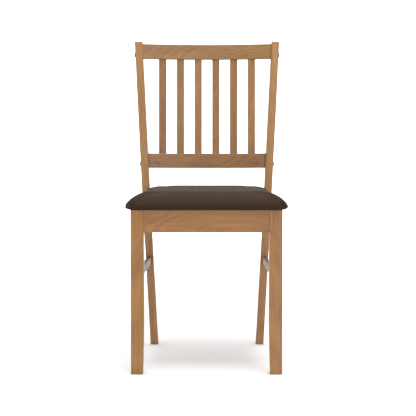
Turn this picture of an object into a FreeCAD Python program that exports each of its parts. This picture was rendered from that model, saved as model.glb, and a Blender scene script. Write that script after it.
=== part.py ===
import FreeCAD, Part
import math
import os
import re

import Sketcher

# A slat-back dining chair with an upholstered seat, in millimetres. It stands on z = 0 and faces -Y. X runs
# across it, and left is the -X side. The right-hand pieces are built and the left-hand ones are mirrored.
#
# The front legs are upright. The rear posts lean outwards in the front view, and in the side view they are
# sawn to a shallow bend: the foot is set back, the seat joint is upright and the back is raked. Every apron
# and stretcher has a tenon core that runs past its shoulders, and the same core cuts the mortises.

SIZES = [
    ("overall_height", 920, "floor to the top of the rear posts"),
    ("front_width", 404, "over the outer faces of the front legs"),
    ("front_y", -250.3, "front faces of the front legs"),
    ("frame_top", 440, "top of the legs and aprons"),
    ("eased_edge", 1.8, "rounding of every long wooden edge"),
    ("eased_end", 1.2, "rounding of feet and post tops"),
    ("leg_side", 35, "front leg, square"),
    ("leg_taper", 3.5, "taken off the two inner faces at the foot"),
    ("leg_taper_height", 132, "where the taper begins"),
    ("post_width", 23.3, "rear post, across the chair"),
    ("post_foot_x", 172.4, "outer face of a post at the floor"),
    ("lean", 2.86, "outward lean of the posts, degrees"),
    ("foot_setback", 453, "front legs' face to the front of a post's foot"),
    ("joint_setback", 434, "front legs' face to the front of a post at the seat"),
    ("top_setback", 466, "front legs' face to the front of a post's top"),
    ("foot_depth", 30, "post depth at the floor"),
    ("joint_depth", 37, "post depth at the seat"),
    ("top_depth", 28, "post depth at the top"),
    ("low_bend", 360, "height of the bend below the seat"),
    ("high_bend", 462, "height of the bend above the seat"),
    ("bend_radius", 600, "radius of both bends"),
    ("apron_height", 59.4, "all four aprons"),
    ("apron_thick", 20, "all four aprons"),
    ("apron_inset", 2, "aprons behind the faces of legs and posts"),
    ("rear_apron_setback", 443, "front legs' face to the rear apron"),
    ("tenon_thick", 10, "apron tenons"),
    ("tenon_shoulder", 8, "above and below an apron tenon"),
    ("leg_tenon", 16, "tenon length in a front leg"),
    ("post_tenon", 12, "tenon length in a rear post"),
    ("stretcher_top", 270.5, "top of the side stretchers"),
    ("stretcher_height", 22, "side stretchers"),
    ("stretcher_thick", 13, "side stretchers"),
    ("stretcher_front_x", 193, "outer face of a stretcher at the leg"),
    ("stretcher_rear_x", 181.5, "outer face of a stretcher at the post"),
    ("stretcher_tenon_thick", 8, "stretcher tenons"),
    ("stretcher_shoulder", 4, "above and below a stretcher tenon"),
    ("back_setback", 458.5, "front legs' face to the middle of the back at the lower rail"),
    ("back_height", 560.8, "middle of the lower back rail"),
    ("back_rake", 3.44, "rake of the back, degrees"),
    ("rail_spacing", 329.9, "lower back rail to crest rail, along the rake"),
    ("rail_thick", 20, "both back rails"),
    ("rail_bow", 20, "backward bow of the rails at their middle"),
    ("rail_half_chord", 190, "half the width over which the bow is measured"),
    ("rail_in_post", 10, "how far a rail's blank runs into the post before its shoulder is cut"),
    ("rail_eased_edge", 2.2, "rounding of both back rails' long edges"),
    ("crest_height", 44.7, "crest rail"),
    ("lower_rail_height", 44, "lower back rail"),
    ("slat_width", 22.2, "back slats"),
    ("slat_thick", 11, "back slats"),
    ("slat_pitch", 53.95, "back slats, centre to centre"),
    ("slat_tenon_width", 15, "slat tenons"),
    ("slat_tenon_thick", 7, "slat tenons"),
    ("slat_tenon_length", 12, "slat tenons"),
    ("bolt_drop", 10, "bolt below the middle of its rail"),
    ("bolt_radius", 3, "bolt shank"),
    ("bolt_length", 54, "bolt under its head"),
    ("bolt_head_radius", 7, "flat bolt head"),
    ("bolt_head_height", 2.8, "flat bolt head"),
    ("bolt_socket", 2.3, "hexagon socket, centre to corner"),
    ("bolt_socket_depth", 4, "hexagon socket"),
    ("nut_radius", 5, "barrel nut"),
    ("bolt_setback", 2.5, "bolts and dowels behind the middle of the post"),
    ("nut_length", 12, "barrel nut"),
    ("nut_depth", 48, "outer face of the post to the barrel nut's axis"),
    ("dowel_rise", 11, "dowel above the middle of its rail"),
    ("dowel_radius", 4, "locating dowel"),
    ("dowel_length", 30, "locating dowel"),
    ("dowel_start", 10, "outer face of the post to the dowel's end"),
    ("hole_gap", 0.15, "radial gap round bolts, nuts, dowels and screws"),
    ("block_low", 410, "underside of the corner blocks"),
    ("block_height", 28, "corner blocks"),
    ("block_reach_x", 105, "where a block's long face meets the front or rear apron"),
    ("block_reach_y", 75, "length of a block along the side apron"),
    ("screw_radius", 2, "all wood screws"),
    ("screw_head_radius", 4, "countersunk head"),
    ("screw_head_height", 2.5, "countersunk head"),
    ("screw_point", 5, "length of a screw's point"),
    ("block_screw_length", 32, "corner block screws"),
    ("seat_screw_length", 40, "screws up into the seat board"),
    ("screw_sink", 3.5, "screw head below the block's long face"),
    ("screw_across_x", 128, "block screw into the front or rear apron"),
    ("screw_along_y", 40, "block screw into the side apron, from the leg or post"),
    ("seat_screw_x", 150, "seat screws"),
    ("seat_screw_in", 26, "seat screws from the front and rear aprons"),
    ("seat_front_overhang", 9, "seat pad in front of the legs"),
    ("seat_front_half", 218.4, "half the seat pad's width at the front"),
    ("seat_rear_half", 198.5, "half the seat pad's width at the posts"),
    ("seat_notch_half", 169.2, "half the seat pad's width between the posts"),
    ("seat_notch_setback", 432, "front legs' face to the notches round the posts"),
    ("seat_back_setback", 461, "front legs' face to the seat pad's rear edge"),
    ("seat_height", 486, "top of the seat pad"),
    ("seat_corner", 34, "front corners of the seat pad in plan"),
    ("seat_low_roll", 9.5, "rounding of the seat pad's bottom edges"),
    ("seat_top_roll", 28, "rounding of the seat pad's top edges"),
    ("cover_thick", 1.2, "seat cover"),
    ("foam_gap", 0.3, "between the foam and the cover"),
    ("board_thick", 12, "plywood seat board"),
    ("board_inset", 14, "board inside the pad at the front and sides"),
    ("board_notch_inset", 2.5, "board inside the pad at the back"),
    ("turn_under", 55, "width of cover turned under the board"),
    ("dust_cover_thick", 0.5, "dust cover"),
    ("dust_cover_overlap", 22, "dust cover over the turned-under leather"),
    ("staple_crown", 11, "staples"),
    ("staple_wire", 0.8, "staples"),
    ("staple_leg", 7, "staples"),
    ("staple_margin", 8, "staples outside the opening in the turned-under leather"),
]
SLATS = 6
STAPLES_ACROSS = 7
STAPLES_ALONG = 8
ALIASES = {alias for alias, _, _ in SIZES}
UPRIGHT = "vector(0; 0; 1)"
ACROSS = "vector(1; 0; 0)"
ALONG = "vector(0; 1; 0)"

doc = FreeCAD.newDocument("dining_chair")
sheet = doc.addObject("Spreadsheet::Sheet", "Sizes")
for row, (alias, number, meaning) in enumerate(SIZES, 1):
    sheet.set(f"A{row}", meaning)
    sheet.set(f"B{row}", str(number))
    sheet.setAlias(f"B{row}", alias)
doc.recompute()


# Formulas and frames


def bound(formula):
    """Turns each size's name in a formula into a reference to its cell."""
    return re.sub(r"\b[a-z_]+\b", lambda word: f"Sizes.{word[0]}" if word[0] in ALIASES else word[0], formula)


def number_of(formula):
    """The present value of a formula."""
    return float(sheet.evalExpression(bound(formula)))


def frame(x="0", y="0", z="0", axis=UPRIGHT, turn="0"):
    """A placement as a formula: a move and a turn about an axis, in degrees."""
    return f"placement(vector({x}; {y}; {z}); rotation({axis}; {turn}))"


LEG_INNER_X = "(front_width / 2 - leg_side)"
LEG_REAR_Y = "(front_y + leg_side)"
JOINT_Y = "(front_y + joint_setback)"
REAR_APRON_Y = "(front_y + rear_apron_setback)"
APRON_LOW = "(frame_top - apron_height)"
POST_INNER_AT_APRON = f"(post_foot_x - post_width / cos(lean) + {APRON_LOW} * tan(lean))"
SIDE_FRONT_X = "(front_width / 2 - apron_inset)"
SIDE_REAR_X = f"(post_foot_x + {APRON_LOW} * tan(lean) - apron_inset)"
SIDE_RUN = "(joint_setback - leg_side)"
SIDE_TURN = f"atan(({SIDE_FRONT_X} - {SIDE_REAR_X}) / {SIDE_RUN})"
STRETCHER_TURN = f"atan((stretcher_front_x - stretcher_rear_x) / {SIDE_RUN})"
RAIL_RADIUS = "((rail_half_chord ^ 2 + rail_bow ^ 2) / (2 * rail_bow))"
POST_FRAME = frame("post_foot_x", axis=ALONG, turn="lean")
# The back's frame has its Z along the rake and its origin at the centre of the rails' bow.
BACK_FRAME = (
    frame(y="front_y + back_setback", z="back_height", axis=ACROSS, turn="-back_rake")
    + " * "
    + frame(y=f"rail_bow - {RAIL_RADIUS}")
)


# Document objects


def named(kind, name, **formulas):
    """A document object of a kind, whose label is its name, with its properties bound to formulas."""
    made = doc.addObject(kind, name)
    made.Label = name
    for item, formula in formulas.items():
        made.setExpression(item, bound(formula))
    return made


def box(name, length, width, height, place):
    """A box from the origin of its frame."""
    return named("Part::Box", name, Length=length, Width=width, Height=height, Placement=place)


def cylinder(name, radius, height, place):
    """A cylinder along the Z of its frame."""
    return named("Part::Cylinder", name, Radius=radius, Height=height, Placement=place)


def fuse(name, *pieces):
    """Several pieces as one solid."""
    joined = named("Part::MultiFuse", name)
    joined.Shapes = pieces
    return joined


def group(name, *pieces):
    """Several separate solids in one sub-part."""
    together = named("Part::Compound", name)
    together.Links = pieces
    return together


def cut(name, base, *tools):
    """A piece with one or more tools taken out of it."""
    result = named("Part::Cut", name)
    result.Base = base
    result.Tool = tools[0] if len(tools) == 1 else group(name + "_tools", *tools)
    return result


def mirrored(name, source):
    """The left-hand copy of a right-hand piece."""
    copy = named("Part::Mirroring", name)
    copy.Source = source
    copy.Normal = FreeCAD.Vector(1, 0, 0)
    return copy


# Bodies


def sketch_on(body, role, name, lift="0"):
    """An empty sketch on one of a body's own origin planes, lifted along the plane's normal."""
    sketch = body.newObject("Sketcher::SketchObject", f"{body.Name}_{name}")
    plane = next(item for item in body.Origin.OriginFeatures if item.Role == role)
    sketch.AttachmentSupport = (plane, [""])
    sketch.MapMode = "FlatFace"
    sketch.setExpression("AttachmentOffset.Base.z", bound(lift))
    return sketch


def draw_polygon(sketch, points):
    """Draws a closed outline, each corner placed by two formulas."""
    at = [FreeCAD.Vector(number_of(x), number_of(y), 0) for x, y in points]
    for index, start in enumerate(at):
        sketch.addGeometry(Part.LineSegment(start, at[(index + 1) % len(at)]), False)
    for index in range(len(at)):
        sketch.addConstraint(Sketcher.Constraint("Coincident", index, 2, (index + 1) % len(at), 1))
    for index, (point, formulas) in enumerate(zip(at, points)):
        for kind, now, formula in zip(("DistanceX", "DistanceY"), point, formulas):
            made = sketch.addConstraint(Sketcher.Constraint(kind, -1, 1, index, 1, now))
            sketch.setExpression(f"Constraints[{made}]", bound(formula))
    return sketch


def draw_bent(sketch, points, bends, radius):
    """Draws a closed outline, each corner placed by two formulas, and rounds the corners listed in bends.

    A rounded corner stays as a point that both of its lines run through, with an arc tangent to the lines.
    """
    at = [FreeCAD.Vector(number_of(x), number_of(y), 0) for x, y in points]
    size, count = number_of(radius), len(at)
    starts, ends = list(at), [at[(index + 1) % count] for index in range(count)]
    arcs = {}
    for corner in bends:
        before = (at[corner] - at[corner - 1]).normalize()
        after = (at[(corner + 1) % count] - at[corner]).normalize()
        turn = math.asin(before.cross(after).z)
        reach = size * math.tan(abs(turn) / 2)
        ends[corner - 1], starts[corner] = at[corner] - before * reach, at[corner] + after * reach
        side = math.copysign(1, turn)
        centre = ends[corner - 1] + FreeCAD.Vector(-before.y, before.x, 0) * side * size
        limits = sorted((turn, 0)) if turn < 0 else (0, turn)
        heading_in = math.atan2(-before.x * side, before.y * side)
        circle = Part.Circle(centre, FreeCAD.Vector(0, 0, 1), size)
        arcs[corner] = Part.ArcOfCircle(circle, heading_in + limits[0], heading_in + limits[1]), turn > 0
    for start, end in zip(starts, ends):
        sketch.addGeometry(Part.LineSegment(start, end), False)
    for corner in range(count):
        line, following = (corner - 1) % count, corner
        holder = (following, 1)
        if corner in arcs:
            shape, forwards = arcs[corner]
            arc = sketch.addGeometry(shape, False)
            first, last = (1, 2) if forwards else (2, 1)
            sketch.addConstraint(Sketcher.Constraint("Tangent", line, 2, arc, first))
            sketch.addConstraint(Sketcher.Constraint("Tangent", arc, last, following, 1))
            made = sketch.addConstraint(Sketcher.Constraint("Radius", arc, size))
            sketch.setExpression(f"Constraints[{made}]", bound(radius))
            holder = (sketch.addGeometry(Part.Point(at[corner]), True), 1)
            sketch.addConstraint(Sketcher.Constraint("PointOnObject", *holder, line))
            sketch.addConstraint(Sketcher.Constraint("PointOnObject", *holder, following))
        else:
            sketch.addConstraint(Sketcher.Constraint("Coincident", line, 2, *holder))
        for kind, now, formula in zip(("DistanceX", "DistanceY"), at[corner], points[corner]):
            made = sketch.addConstraint(Sketcher.Constraint(kind, -1, 1, *holder, now))
            sketch.setExpression(f"Constraints[{made}]", bound(formula))
    return sketch


def draw_rounded(sketch, limits, radius):
    """Draws a rectangle with rounded corners, from formulas for its low and high limits."""
    low_x, low_y, high_x, high_y = limits
    round_x = (f"{low_x} + {radius}", f"{high_x} - {radius}")
    round_y = (f"{low_y} + {radius}", f"{high_y} - {radius}")
    ends = [
        (round_x[0], low_y), (round_x[1], low_y), (high_x, round_y[0]), (high_x, round_y[1]),
        (round_x[1], high_y), (round_x[0], high_y), (low_x, round_y[1]), (low_x, round_y[0]),
    ]
    at = [FreeCAD.Vector(number_of(x), number_of(y), 0) for x, y in ends]
    turn = number_of(radius)
    centres = [FreeCAD.Vector(number_of(x), number_of(y), 0) for x in round_x for y in round_y]
    for side in range(4):
        start, end, after = at[2 * side], at[2 * side + 1], at[(2 * side + 2) % 8]
        centre = min(centres, key=lambda point: (point - end).Length + (point - after).Length)
        sketch.addGeometry(Part.LineSegment(start, end), False)
        quarter = Part.Circle(centre, FreeCAD.Vector(0, 0, 1), turn)
        first = math.atan2(end.y - centre.y, end.x - centre.x)
        sketch.addGeometry(Part.ArcOfCircle(quarter, first, first + math.pi / 2), False)
    for side in range(4):
        line, arc, following = 2 * side, 2 * side + 1, (2 * side + 2) % 8
        sketch.addConstraint(Sketcher.Constraint("Coincident", line, 2, arc, 1))
        sketch.addConstraint(Sketcher.Constraint("Coincident", arc, 2, following, 1))
        made = sketch.addConstraint(Sketcher.Constraint("Radius", arc, turn))
        sketch.setExpression(f"Constraints[{made}]", bound(radius))
    for index, (point, formulas) in enumerate(zip(at, ends)):
        for kind, now, formula in zip(("DistanceX", "DistanceY"), point, formulas):
            place = Sketcher.Constraint(kind, -1, 1, index // 2 * 2, index % 2 + 1, now)
            sketch.setExpression(f"Constraints[{sketch.addConstraint(place)}]", bound(formula))
    return sketch


def pad(body, sketch, length, reverse=False):
    """Pads a sketch to a length."""
    made = body.newObject("PartDesign::Pad", f"{sketch.Name}_pad")
    made.Profile = sketch
    made.Reversed = reverse
    made.setExpression("Length", bound(length))
    return made


def pocket_through(body, sketch):
    """Cuts a sketch's outline right through a body, both ways."""
    made = body.newObject("PartDesign::Pocket", f"{sketch.Name}_pocket")
    made.Profile = sketch
    made.SideType = "Symmetric"
    made.Type = "ThroughAll"
    return made


def round_edges(body, name, radius, chosen):
    """Rounds the edges of a body's last feature that pass a test."""
    doc.recompute()
    last = body.Tip
    edges = [f"Edge{index}" for index, edge in enumerate(last.Shape.Edges, 1) if chosen(edge)]
    made = body.newObject("PartDesign::Fillet", f"{body.Name}_{name}")
    made.Base = (last, edges)
    made.setExpression("Radius", bound(radius))
    return made


def middle(edge):
    """The point halfway along an edge."""
    return edge.valueAt((edge.FirstParameter + edge.LastParameter) / 2)


def heading(edge):
    """The direction of an edge at its middle."""
    return edge.tangentAt((edge.FirstParameter + edge.LastParameter) / 2)


def along(axis, limit=0.9):
    """A test for edges that run close to an axis: 0 for X, 1 for Y and 2 for Z."""
    return lambda edge: abs(heading(edge)[axis]) > limit


# Legs and posts


def make_leg_blank():
    """A square front leg with eased edges, whose inner and rear faces taper in towards the floor."""
    body = named("PartDesign::Body", "right_leg_blank")
    full = draw_rounded(
        sketch_on(body, "XY_Plane", "section", "leg_taper_height"),
        (LEG_INNER_X, "front_y", "front_width / 2", LEG_REAR_Y),
        "eased_edge",
    )
    foot = draw_rounded(
        sketch_on(body, "XY_Plane", "foot"),
        (f"{LEG_INNER_X} + leg_taper", "front_y", "front_width / 2", f"{LEG_REAR_Y} - leg_taper"),
        "eased_edge",
    )
    pad(body, full, "frame_top - leg_taper_height")
    taper = body.newObject("PartDesign::AdditiveLoft", "right_leg_taper")
    taper.Profile = foot
    taper.Sections = [full]
    taper.Ruled = True
    round_edges(body, "foot_edges", "eased_end", lambda edge: abs(middle(edge).z) < 0.01)
    return body


def make_post_blank():
    """A rear post, sawn to its bend from a board and tilted outwards, its foot cut level with the floor."""
    body = named("PartDesign::Body", "right_post_blank", Placement=POST_FRAME)
    drop = "post_width * tan(lean)"
    top = "(overall_height - post_width * sin(lean)) / cos(lean)"
    front = [
        ("front_y + foot_setback", f"-{drop}"),
        (JOINT_Y, "low_bend"),
        (JOINT_Y, "high_bend"),
        ("front_y + top_setback", top),
    ]
    rear = [
        ("front_y + top_setback + top_depth", top),
        (f"{JOINT_Y} + joint_depth", "high_bend"),
        (f"{JOINT_Y} + joint_depth", "low_bend"),
        ("front_y + foot_setback + foot_depth", f"-{drop}"),
    ]
    bends = [index for index, (_, height) in enumerate(front + rear) if height in ("low_bend", "high_bend")]
    profile = draw_bent(sketch_on(body, "YZ_Plane", "profile"), front + rear, bends, "bend_radius")
    pad(body, profile, "post_width", reverse=True)
    floor = [("0", "0"), ("-post_width", f"-{drop}"), ("0", f"-{drop}")]
    pocket_through(body, draw_polygon(sketch_on(body, "XZ_Plane", "floor_cut"), floor))
    round_edges(body, "long_edges", "eased_edge", along(2))
    top_level = number_of(top) - 0.01
    round_edges(body, "top_edges", "eased_end", lambda edge: middle(edge).z > top_level)
    return body


# Aprons and stretchers


def make_apron_core(name, y, reach):
    """The tenon core of an apron that runs across the chair."""
    place = frame(f"-({reach})", f"{y} + (apron_thick - tenon_thick) / 2", f"{APRON_LOW} + tenon_shoulder")
    return box(name, f"2 * ({reach})", "tenon_thick", "apron_height - 2 * tenon_shoulder", place)


def make_front_apron(core):
    """The front apron, between the front legs."""
    body = named("PartDesign::Body", "front_apron_bar")
    face, back = "(front_y + apron_inset)", "(front_y + apron_inset + apron_thick)"
    section = [(face, APRON_LOW), (back, APRON_LOW), (back, "frame_top"), (face, "frame_top")]
    drawn = draw_polygon(sketch_on(body, "YZ_Plane", "section", f"-{LEG_INNER_X}"), section)
    pad(body, drawn, f"2 * {LEG_INNER_X}")
    low = number_of(APRON_LOW) + 0.01
    round_edges(body, "lower_edges", "eased_edge", lambda edge: along(0)(edge) and middle(edge).z < low)
    return fuse("front_apron_joined", body, core)


def make_rear_apron(core):
    """The rear apron, whose shoulders follow the leaning posts."""
    body = named("PartDesign::Body", "rear_apron_bar")
    low_half, high_half = POST_INNER_AT_APRON, f"({POST_INNER_AT_APRON} + apron_height * tan(lean))"
    face = [
        (f"-{low_half}", APRON_LOW),
        (low_half, APRON_LOW),
        (high_half, "frame_top"),
        (f"-{high_half}", "frame_top"),
    ]
    sketch = sketch_on(body, "XZ_Plane", "face", f"-{REAR_APRON_Y}")
    pad(body, draw_polygon(sketch, face), "apron_thick", True)
    low = number_of(APRON_LOW) + 0.01
    round_edges(body, "lower_edges", "eased_edge", lambda edge: along(0)(edge) and middle(edge).z < low)
    return fuse("rear_apron_joined", body, core)


def make_side_apron():
    """The right side apron and its tenon core, turned to run from the leg to the narrower back."""
    body = named("PartDesign::Body", "right_side_apron_bar")
    plan = [
        (f"{SIDE_FRONT_X} - apron_thick", LEG_REAR_Y),
        (SIDE_FRONT_X, LEG_REAR_Y),
        (SIDE_REAR_X, JOINT_Y),
        (f"{SIDE_REAR_X} - apron_thick", JOINT_Y),
    ]
    pad(body, draw_polygon(sketch_on(body, "XY_Plane", "plan", APRON_LOW), plan), "apron_height")
    low = number_of(APRON_LOW) + 0.01
    round_edges(body, "lower_edges", "eased_edge", lambda edge: along(1)(edge) and middle(edge).z < low)
    start = frame(SIDE_FRONT_X, LEG_REAR_Y, f"{APRON_LOW} + tenon_shoulder", turn=SIDE_TURN)
    place = f"{start} * {frame('-(apron_thick + tenon_thick) / 2', '-leg_tenon')}"
    length = f"{SIDE_RUN} + leg_tenon + post_tenon"
    core = box("right_side_apron_core", "tenon_thick", length, "apron_height - 2 * tenon_shoulder", place)
    return fuse("right_side_apron_joined", body, core), core


def make_stretcher(leg, post):
    """The right stretcher and its tenon core; its rear shoulder follows the sloping face of the post."""
    start = frame("stretcher_front_x", LEG_REAR_Y, "stretcher_top - stretcher_height", turn=STRETCHER_TURN)
    place = f"{start} * {frame('-stretcher_thick', '-leg_tenon / 2')}"
    length = f"{SIDE_RUN} + leg_tenon + post_tenon"
    body = named("PartDesign::Body", "right_stretcher_bar", Placement=place)
    section = [
        ("0", "0"),
        ("stretcher_thick", "0"),
        ("stretcher_thick", "stretcher_height"),
        ("0", "stretcher_height"),
    ]
    pad(body, draw_polygon(sketch_on(body, "XZ_Plane", "section"), section), length, reverse=True)
    round_edges(body, "long_edges", "eased_edge", along(1))
    between = cut("right_stretcher_between", body, leg, post)
    inset = "(stretcher_thick - stretcher_tenon_thick) / 2"
    core_place = f"{start} * {frame(f'-stretcher_thick + {inset}', '-leg_tenon', 'stretcher_shoulder')}"
    core = box(
        "right_stretcher_core",
        "stretcher_tenon_thick",
        f"{SIDE_RUN} + leg_tenon + 2 * post_tenon",
        "stretcher_height - 2 * stretcher_shoulder",
        core_place,
    )
    return fuse("right_stretcher", between, core), core


# The back


def make_rail_blank(name, low, height, half_width):
    """A bowed rail: its section turned about the upright axis at the centre of the bow."""
    body = named("PartDesign::Body", name, Placement=BACK_FRAME)
    inner, outer = f"{RAIL_RADIUS} - rail_thick / 2", f"{RAIL_RADIUS} + rail_thick / 2"
    high = f"{low} + {height}"
    section = [(inner, low), (outer, low), (outer, high), (inner, high)]
    sketch = draw_polygon(sketch_on(body, "YZ_Plane", "section"), section)
    turned = body.newObject("PartDesign::Revolution", f"{name}_bow")
    turned.Profile = sketch
    turned.ReferenceAxis = (sketch, ["V_Axis"])
    turned.Midplane = True
    turned.setExpression("Angle", bound(f"2 * asin(({half_width}) / {RAIL_RADIUS})"))
    round_edges(body, "long_edges", "rail_eased_edge", along(0))
    return body


def make_slats():
    """The slats, square to the bow and evenly spaced round it, and their tenon cores."""
    length = "(rail_spacing - (crest_height + lower_rail_height) / 2)"
    slats, cores = [], []
    for index in range(SLATS):
        turn = f"-asin({index - (SLATS - 1) / 2} * slat_pitch / {RAIL_RADIUS})"
        stand = f"{BACK_FRAME} * {frame(z='lower_rail_height / 2', turn=turn)}"
        bar = named("PartDesign::Body", f"slat_{index + 1}_bar", Placement=stand)
        near, far = f"{RAIL_RADIUS} - slat_thick / 2", f"{RAIL_RADIUS} + slat_thick / 2"
        half = "slat_width / 2"
        section = [(f"-{half}", near), (half, near), (half, far), (f"-{half}", far)]
        pad(bar, draw_polygon(sketch_on(bar, "XY_Plane", "section"), section), length)
        round_edges(bar, "long_edges", "eased_edge", along(2))
        inside = frame("-slat_tenon_width / 2", f"{RAIL_RADIUS} - slat_tenon_thick / 2", "-slat_tenon_length")
        core = box(
            f"slat_{index + 1}_core",
            "slat_tenon_width",
            "slat_tenon_thick",
            f"{length} + 2 * slat_tenon_length",
            f"{stand} * {inside}",
        )
        slats.append(fuse(f"back_slat_{index + 1}", bar, core))
        cores.append(core)
    return slats, cores


def in_post(rise, depth):
    """A frame whose Z points outwards through the right post, at a rise along the back and a depth."""
    height = f"(back_height + ({rise}) * cos(back_rake)) / cos(lean)"
    setback = f"front_y + back_setback + ({rise}) * sin(back_rake) + bolt_setback"
    return f"{POST_FRAME} * {frame(f'-({depth})', setback, height, ALONG, '90')}"


def make_bolt(name, rise):
    """A furniture bolt with a flat head and a hexagon socket, its head against the post's outer face."""
    body = named("PartDesign::Body", name, Placement=in_post(rise, "0"))
    half = [
        ("0", "-bolt_length"),
        ("bolt_radius", "-bolt_length"),
        ("bolt_radius", "0"),
        ("bolt_head_radius", "0"),
        ("bolt_head_radius", "bolt_head_height"),
        ("0", "bolt_head_height"),
    ]
    sketch = draw_polygon(sketch_on(body, "XZ_Plane", "section"), half)
    turned = body.newObject("PartDesign::Revolution", f"{name}_turned")
    turned.Profile = sketch
    turned.ReferenceAxis = (sketch, ["V_Axis"])
    turned.Angle = 360
    rim = number_of("bolt_head_height") - 0.01
    widest = number_of("bolt_head_radius") - 0.01
    on_rim = lambda edge: min(v.Point.z for v in edge.Vertexes) > rim and edge.BoundBox.XMax > widest
    round_edges(body, "head_edge", "bolt_head_height / 3", on_rim)
    hexagon = [(f"bolt_socket * cos({turn})", f"bolt_socket * sin({turn})") for turn in range(0, 360, 60)]
    socket = draw_polygon(sketch_on(body, "XY_Plane", "socket", "bolt_head_height"), hexagon)
    sunk = body.newObject("PartDesign::Pocket", f"{name}_socket_pocket")
    sunk.Profile = socket
    sunk.setExpression("Length", bound("bolt_socket_depth"))
    return body


def make_rail_fixings(name, middle_rise):
    """One bolt, barrel nut and dowel at a rail's right end, and the holes for them."""
    low, high = f"{middle_rise} - bolt_drop", f"{middle_rise} + dowel_rise"
    bolt = make_bolt(f"{name}_bolt", low)
    lie = f"{in_post(low, 'nut_depth')} * {frame(axis=ACROSS, turn='-90')}"
    nut_start = "-nut_length / 3"
    nut_blank = cylinder(f"{name}_nut_blank", "nut_radius", "nut_length", f"{lie} * {frame(z=nut_start)}")
    hole = cylinder(
        f"{name}_bolt_hole",
        "bolt_radius + hole_gap",
        "bolt_length + 2 * bolt_head_height",
        in_post(low, "bolt_length + bolt_head_height"),
    )
    nut = cut(f"{name}_nut", nut_blank, hole)
    nut_hole = cylinder(
        f"{name}_nut_hole",
        "nut_radius + hole_gap",
        "nut_length / 2 + rail_thick",
        f"{lie} * {frame(z=f'{nut_start} - hole_gap')}",
    )
    dowel_end = "dowel_start + dowel_length"
    dowel = cylinder(f"{name}_dowel", "dowel_radius", "dowel_length", in_post(high, dowel_end))
    dowel_hole = cylinder(
        f"{name}_dowel_hole",
        "dowel_radius + hole_gap",
        "dowel_length + 2 * hole_gap",
        in_post(high, f"{dowel_end} + hole_gap"),
    )
    return (bolt, nut, dowel), group(f"{name}_holes", hole, nut_hole, dowel_hole), (hole, dowel_hole)


def make_rail(name, low, height, rise, holes):
    """A back rail, cut to its shoulders against the posts, with mortises for the slats and holes."""
    world_rise = f"(back_height + ({rise}) * cos(back_rake))"
    half_width = f"post_foot_x - post_width + {world_rise} * tan(lean) + rail_in_post"
    blank = make_rail_blank(f"{name}_blank", low, height, half_width)
    shouldered = cut(f"{name}_shouldered", blank, post_blank, left_post_blank)
    return cut(name, shouldered, *slat_cores, holes, mirrored(f"{name}_left_holes", holes))


# Corner blocks and screws


def side_inner_x(run):
    """The inner face of the right side apron, at a distance behind the front leg."""
    return f"({SIDE_FRONT_X} - apron_thick - ({run}) * tan({SIDE_TURN}))"


def make_screw(name, length, gap, place):
    """A countersunk wood screw along -Z from its flat head, or the hole for it if the gap isn't zero."""
    shank = cylinder(
        f"{name}_shank",
        f"screw_radius + {gap}",
        f"{length} - screw_point + {gap}",
        f"{place} * {frame(z=f'-({length}) + screw_point - {gap}')}",
    )
    head = named(
        "Part::Cone",
        f"{name}_head",
        Radius1=f"screw_radius + {gap}",
        Radius2=f"screw_head_radius + {gap}",
        Height="screw_head_height",
        Placement=f"{place} * {frame(z='-screw_head_height')}",
    )
    point = named(
        "Part::Cone",
        f"{name}_point",
        Radius1=f"0.2 + {gap}",
        Radius2=f"screw_radius + {gap}",
        Height="screw_point",
        Placement=f"{place} * {frame(z=f'-({length}) - {gap}')}",
    )
    return fuse(name, shank, head, point)


APRON_BACK = "(front_y + apron_inset + apron_thick)"
BLOCK_RUN = "(block_reach_y - leg_side / 2)"
FRONT_SLOPE = f"(({LEG_REAR_Y} + {BLOCK_RUN} - {APRON_BACK}) / ({side_inner_x(BLOCK_RUN)} - block_reach_x))"
REAR_SIDE_X = side_inner_x(f"{SIDE_RUN} - {BLOCK_RUN}")
REAR_SLOPE = f"(({REAR_APRON_Y} - {JOINT_Y} + {BLOCK_RUN}) / ({REAR_SIDE_X} - block_reach_x))"


def make_block_fixings(end, apron_y, slope, forwards, side_y, seat_y):
    """A corner block's three screws and the holes for them.

    One screw runs from the block's long face into the front or rear apron, one into the side apron, and one
    from underneath into the seat board. The long face meets the apron at apron_y and has a slope.
    """
    sign, turn = ("", "-90") if forwards else ("-", "90")
    height = "block_low + block_height / 2"
    across_y = f"{apron_y} + {sign}((screw_across_x - block_reach_x) * {slope} - screw_sink)"
    side_x = f"block_reach_x + abs(({side_y}) - {apron_y}) / {slope} + screw_sink"
    places = {
        "across": ("block_screw_length", frame("screw_across_x", across_y, height, ACROSS, turn)),
        "side": ("block_screw_length", frame(side_x, side_y, height, ALONG, "-90")),
        "seat": ("seat_screw_length", frame("seat_screw_x", seat_y, "block_low", ACROSS, "180")),
    }
    screws, drills = {}, {}
    for kind, (length, place) in places.items():
        name = f"{end}_{kind}"
        screws[kind] = make_screw(f"{name}_screw", length, "0", place)
        drilled = make_screw(f"{name}_drilled", length, "hole_gap", place)
        bore = cylinder(f"{name}_bore", "screw_head_radius + hole_gap", "leg_side", place)
        drills[kind] = fuse(f"{name}_hole", drilled, bore)
    return screws, drills


def make_corner_block(name, plan, drills):
    """A right-hand corner block from its plan, drilled for its screws."""
    body = named("PartDesign::Body", f"{name}_blank")
    pad(body, draw_polygon(sketch_on(body, "XY_Plane", "plan", "block_low"), plan), "block_height")
    return cut(name, body, *drills.values())


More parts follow.
